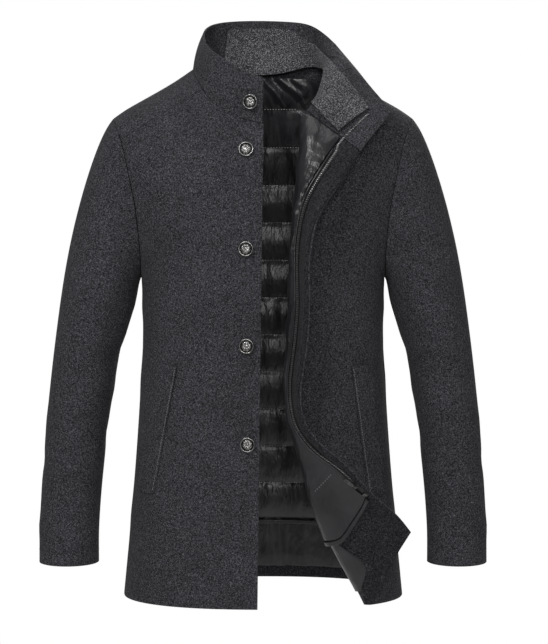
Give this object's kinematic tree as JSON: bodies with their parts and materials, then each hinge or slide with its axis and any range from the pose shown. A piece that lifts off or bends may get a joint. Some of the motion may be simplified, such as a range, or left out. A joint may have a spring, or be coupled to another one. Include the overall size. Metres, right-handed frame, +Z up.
{
  "type": "insulated winter jacket",
  "caption": "Charcoal wool car coat with a stand collar, welt pockets and a zip-in quilted liner, its left front folded open, filled out as if worn.",
  "frame": {"origin": "middle of the neck base, between the shoulders of the wearer who holds the coat up", "axes": "+Z up along the wearer's spine, -Y the way the front faces, -X the wearer's right"},
  "size_m": [0.66, 0.3198, 0.8522],
  "materials": {
    "wool": "matte charcoal melange wool",
    "twill": "coarse grey twill",
    "satin": "black satin",
    "tape": "black woven tape",
    "metal": "antique gunmetal"
  },
  "bodies": {
    "coat": {"front_right": "wool", "front_left": "wool", "back": "wool", "yoke_right": "wool", "yoke_left": "wool", "sleeve_right": "wool", "sleeve_left": "wool", "collar_right": "wool", "collar_back": "wool", "collar_left": "wool", "facing_left": "wool", "hem_left": "wool", "hem_back": "wool", "welt_right": "wool", "welt_left": "wool", "inner_collar": "twill", "liner_left": "satin", "liner_back": "satin", "liner_binding_left": "satin", "liner_binding_back": "satin", "lining_left": "satin", "lining_back": "satin", "zip_tape": "tape", "zip_box": "metal", "zip_slider": "metal", "button_1": "metal", "button_2": "metal", "button_3": "metal", "button_4": "metal", "button_5": "metal"},
    "pull_tab": {"zip_pull_tab": "metal"}
  },
  "joints": [
    {"name": "pull_tab_hinge", "type": "hinge", "parent": "coat", "child": "pull_tab", "pos_m": [0.12859, -0.17195, -0.57762], "axis": [0.6834, -0.4904, 0.5409], "range_deg": [0, 140]}
  ]
}
